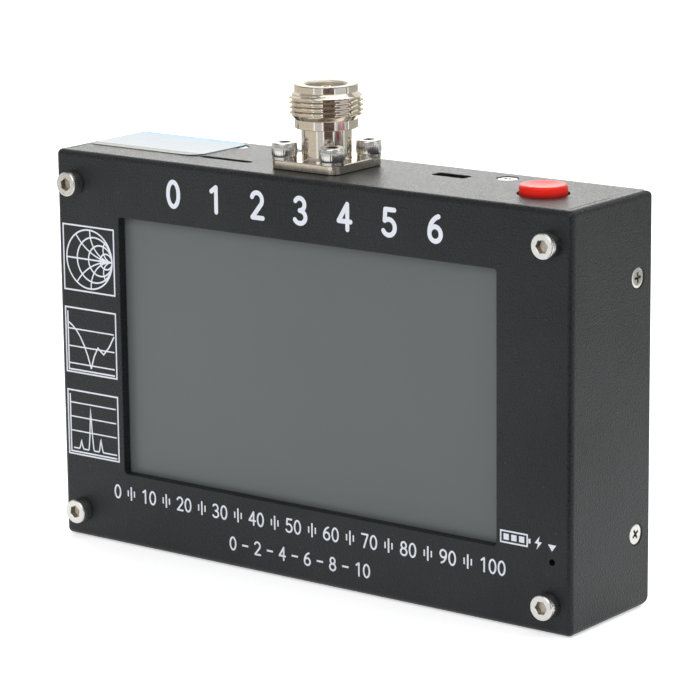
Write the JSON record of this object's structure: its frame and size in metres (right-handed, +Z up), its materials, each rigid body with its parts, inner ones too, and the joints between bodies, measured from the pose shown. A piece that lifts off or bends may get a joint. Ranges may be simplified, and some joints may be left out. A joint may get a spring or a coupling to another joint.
{
  "type": "antenna analyzer",
  "caption": "Handheld antenna analyzer: flat black sheet-metal case with a touch display, and a coaxial socket, card slot, charging slot and red power button on top.",
  "frame": {"origin": "centre of the case's flat underside, at half the case's width and half its depth", "axes": "+X to the right of someone facing the display, +Y to the back, +Z up along the coaxial socket"},
  "size_m": [0.136, 0.0324, 0.1053],
  "materials": {
    "black_coat": "fine-textured black powder coat on aluminium sheet",
    "bright_steel": "bright zinc-plated steel",
    "nickel_brass": "bright nickel plate on brass",
    "gold_plate": "gold plate",
    "copper": "bare copper",
    "tin_plate": "satin tin plate",
    "label_film": "blank printed paper label with a pale blue band",
    "black_tape": "black foam or film tape",
    "touch_film": "satin anti-glare film on glass",
    "display_glass": "display cell glass",
    "clear_plastic": "clear light guide",
    "white_plastic": "moulded white plastic",
    "black_plastic": "moulded black plastic",
    "ribbon_film": "amber polyimide film",
    "board_laminate": "green solder mask on glass laminate",
    "white_ptfe": "turned white insulator",
    "red_plastic": "moulded red plastic",
    "red_lens": "tinted lamp resin",
    "brown_ceramic": "fired ceramic with tinned ends",
    "dark_ferrite": "moulded ferrite",
    "cell_foil": "laminated pouch foil",
    "red_wire": "wire insulation",
    "black_wire": "wire insulation"
  },
  "bodies": {
    "case": {"backlight_tray": "white_plastic", "board_posts": "nickel_brass", "board_screws": "bright_steel", "card_socket": "black_plastic", "card_socket_cover": "tin_plate", "cell": "cell_foil", "cell_lead_black": "black_wire", "cell_lead_red": "red_wire", "cell_plug": "white_plastic", "cell_socket": "white_plastic", "cell_tape": "black_tape", "charge_light": "red_lens", "charge_light_leads": "tin_plate", "charger_chip": "black_plastic", "charger_choke": "dark_ferrite", "clock_crystal": "tin_plate", "coax_body": "nickel_brass", "coax_contact": "gold_plate", "coax_insulator": "white_ptfe", "coax_strap": "copper", "control_board": "board_laminate", "cover_screws": "bright_steel", "display_bezel": "tin_plate", "display_glass": "display_glass", "display_ribbon": "ribbon_film", "display_tape": "black_tape", "flange_nuts": "bright_steel", "flange_screws": "bright_steel", "flange_washers": "bright_steel", "front_posts": "nickel_brass", "front_screws": "bright_steel", "front_shell": "black_coat", "header_pins": "gold_plate", "header_plug": "black_plastic", "header_socket": "black_plastic", "light_guide": "clear_plastic", "memory_chip": "black_plastic", "processor": "black_plastic", "radio_board": "board_laminate", "radio_chips": "black_plastic", "rear_cover": "black_coat", "ribbon_latch": "black_plastic", "ribbon_socket": "white_plastic", "shield_frame": "tin_plate", "shield_lid": "tin_plate", "small_parts": "brown_ceramic", "switch_housing": "black_plastic", "switch_spring": "bright_steel", "switch_terminals": "tin_plate", "top_label": "label_film", "touch_panel": "touch_film", "usb_shell": "tin_plate", "usb_tongue": "black_plastic", "window_gasket": "black_tape"},
    "button": {"power_button": "red_plastic", "switch_plunger": "white_plastic"}
  },
  "joints": [
    {"name": "power_button_press", "type": "slide", "parent": "case", "child": "button", "axis": [0, 0, -1], "range_m": [0, 0.0018], "stiffness_N_per_m": 700, "springref_m": -0.001, "deforming": ["switch_spring"]}
  ]
}
